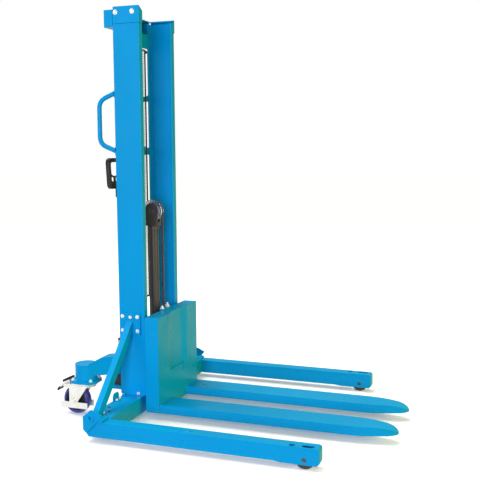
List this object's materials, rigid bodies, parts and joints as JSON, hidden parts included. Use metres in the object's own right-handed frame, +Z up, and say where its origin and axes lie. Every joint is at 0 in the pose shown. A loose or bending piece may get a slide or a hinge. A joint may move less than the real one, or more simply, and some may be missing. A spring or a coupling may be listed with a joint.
{
  "type": "walkie stacker",
  "caption": "Hand-pumped straddle stacker: fixed channel mast, chain-lifted fork carriage, straddle legs with rollers, braked swivel casters, pump tiller and side push handles.",
  "frame": {"origin": "on the floor under the middle of the bounding box", "axes": "+X forward along the forks, +Y to the left seen from behind the mast, +Z up"},
  "size_m": [1.756, 1.278, 2.066],
  "materials": {
    "blue_paint": "gloss sky blue enamel",
    "black_paint": "satin black enamel",
    "black_plastic": "fine textured",
    "zinc": "bright zinc plating",
    "bare_steel": "ground",
    "chrome_rod": "polished",
    "chain_steel": "oiled",
    "blue_tyre": "blue-violet cast polyurethane",
    "black_tyre": "black nylon roller"
  },
  "bodies": {
    "chassis": {"mast_upright_right": "blue_paint", "mast_upright_left": "blue_paint", "mast_cap_right": "blue_paint", "mast_cap_left": "blue_paint", "mast_top_beam": "blue_paint", "mast_top_plate": "blue_paint", "mast_strap_upper": "blue_paint", "mast_strap_lower": "blue_paint", "guard_screen": "black_paint", "push_handle_right": "blue_paint", "push_handle_left": "blue_paint", "base_crossbeam": "blue_paint", "straddle_leg_right": "blue_paint", "straddle_leg_left": "blue_paint", "leg_axle_right": "chain_steel", "leg_axle_left": "chain_steel", "strut_right": "blue_paint", "strut_left": "blue_paint", "strut_plate_right": "blue_paint", "strut_plate_left": "blue_paint", "caster_arm_right": "blue_paint", "caster_arm_left": "blue_paint", "cylinder_base": "black_paint", "cylinder_barrel": "black_paint", "cylinder_gland": "black_paint", "chain_rear": "chain_steel", "pump_bracket": "blue_paint", "pump_body": "black_paint", "oil_pipe": "bare_steel"},
    "carriage": {"carriage_frame": "blue_paint", "carriage_arm_right": "blue_paint", "carriage_arm_left": "blue_paint", "fork_right": "blue_paint", "fork_left": "blue_paint"},
    "lift_rod": {"piston_rod": "chrome_rod", "crosshead": "black_paint", "sheave_pin": "chain_steel", "chain_front": "chain_steel", "chain_wrap": "chain_steel"},
    "sheave": {"chain_sheave": "bare_steel"},
    "plunger": {"pump_plunger": "bare_steel"},
    "tiller": {"tiller_shaft": "black_paint", "tiller_grip": "black_plastic"},
    "lever": {"release_lever": "black_plastic"},
    "mast_roller_lower_right": {"mast_roller_lower_right": "bare_steel"},
    "mast_roller_upper_right": {"mast_roller_upper_right": "bare_steel"},
    "mast_roller_lower_left": {"mast_roller_lower_left": "bare_steel"},
    "mast_roller_upper_left": {"mast_roller_upper_left": "bare_steel"},
    "caster_right": {"caster_fork_right": "zinc", "caster_axle_right": "bare_steel"},
    "caster_wheel_right": {"caster_tyre_right": "blue_tyre", "caster_hub_right": "black_plastic"},
    "pedal_right": {"brake_pedal_right": "zinc"},
    "leg_wheel_right": {"leg_roller_right": "black_tyre"},
    "caster_left": {"caster_fork_left": "zinc", "caster_axle_left": "bare_steel"},
    "caster_wheel_left": {"caster_tyre_left": "blue_tyre", "caster_hub_left": "black_plastic"},
    "pedal_left": {"brake_pedal_left": "zinc"},
    "leg_wheel_left": {"leg_roller_left": "black_tyre"}
  },
  "joints": [
    {"name": "fork_lift", "type": "slide", "parent": "chassis", "child": "carriage", "axis": [0, 0, 1], "range_m": [0, 1.51]},
    {"name": "piston_lift", "type": "slide", "parent": "chassis", "child": "lift_rod", "axis": [0, 0, 1], "range_m": [0, 0.756], "deforming": ["chain_front", "chain_rear"]},
    {"name": "sheave_spin", "type": "hinge", "parent": "lift_rod", "child": "sheave", "pos_m": [-0.45, 0, 1.047], "axis": [0, 1, 0], "continuous": true},
    {"name": "mast_roller_lower_right_spin", "type": "hinge", "parent": "carriage", "child": "mast_roller_lower_right", "pos_m": [-0.48, -0.18425, 0.175], "axis": [0, 1, 0], "continuous": true},
    {"name": "mast_roller_upper_right_spin", "type": "hinge", "parent": "carriage", "child": "mast_roller_upper_right", "pos_m": [-0.48, -0.18425, 0.45], "axis": [0, 1, 0], "continuous": true},
    {"name": "mast_roller_lower_left_spin", "type": "hinge", "parent": "carriage", "child": "mast_roller_lower_left", "pos_m": [-0.48, 0.18425, 0.175], "axis": [0, 1, 0], "continuous": true},
    {"name": "mast_roller_upper_left_spin", "type": "hinge", "parent": "carriage", "child": "mast_roller_upper_left", "pos_m": [-0.48, 0.18425, 0.45], "axis": [0, 1, 0], "continuous": true},
    {"name": "caster_swivel_right", "type": "hinge", "parent": "chassis", "child": "caster_right", "pos_m": [-0.72, -0.267, 0.16], "axis": [0, 0, 1], "continuous": true},
    {"name": "caster_wheel_spin_right", "type": "hinge", "parent": "caster_right", "child": "caster_wheel_right", "pos_m": [-0.775, -0.267, 0.075], "axis": [0, 1, 0], "continuous": true},
    {"name": "brake_pedal_tilt_right", "type": "hinge", "parent": "caster_right", "child": "pedal_right", "pos_m": [-0.824, -0.267, 0.149], "axis": [0, -1, 0], "range_deg": [0, 15]},
    {"name": "leg_wheel_spin_right", "type": "hinge", "parent": "chassis", "child": "leg_wheel_right", "pos_m": [0.544, -0.593, 0.044], "axis": [0, 1, 0], "continuous": true},
    {"name": "caster_swivel_left", "type": "hinge", "parent": "chassis", "child": "caster_left", "pos_m": [-0.72, 0.267, 0.16], "axis": [0, 0, 1], "continuous": true},
    {"name": "caster_wheel_spin_left", "type": "hinge", "parent": "caster_left", "child": "caster_wheel_left", "pos_m": [-0.775, 0.267, 0.075], "axis": [0, 1, 0], "continuous": true},
    {"name": "brake_pedal_tilt_left", "type": "hinge", "parent": "caster_left", "child": "pedal_left", "pos_m": [-0.824, 0.267, 0.149], "axis": [0, -1, 0], "range_deg": [0, 15]},
    {"name": "leg_wheel_spin_left", "type": "hinge", "parent": "chassis", "child": "leg_wheel_left", "pos_m": [0.544, 0.593, 0.044], "axis": [0, 1, 0], "continuous": true},
    {"name": "tiller_pump", "type": "hinge", "parent": "chassis", "child": "tiller", "pos_m": [-0.633, 0, 0.33], "axis": [0, -1, 0], "range_deg": [0, 50], "stiffness_Nm_per_rad": 22, "springref_deg": -14.32},
    {"name": "plunger_stroke", "type": "slide", "parent": "chassis", "child": "plunger", "axis": [0, 0, -1], "range_m": [0, 0.029]},
    {"name": "release_lever_pull", "type": "hinge", "parent": "tiller", "child": "lever", "pos_m": [-0.673, 0, 1.192], "axis": [0, -1, 0], "range_deg": [0, 14], "stiffness_Nm_per_rad": 0.6, "springref_deg": -8.59}
  ],
  "couplings": [
    {"joint": "piston_lift", "follows": "fork_lift", "ratio": 0.5},
    {"joint": "sheave_spin", "follows": "fork_lift", "rad_per_m": -9.6154},
    {"joint": "mast_roller_lower_right_spin", "follows": "fork_lift", "rad_per_m": -16.26},
    {"joint": "mast_roller_upper_right_spin", "follows": "fork_lift", "rad_per_m": 16.26},
    {"joint": "mast_roller_lower_left_spin", "follows": "fork_lift", "rad_per_m": -16.26},
    {"joint": "mast_roller_upper_left_spin", "follows": "fork_lift", "rad_per_m": 16.26},
    {"joint": "plunger_stroke", "follows": "tiller_pump", "m_per_rad": 0.03277}
  ]
}
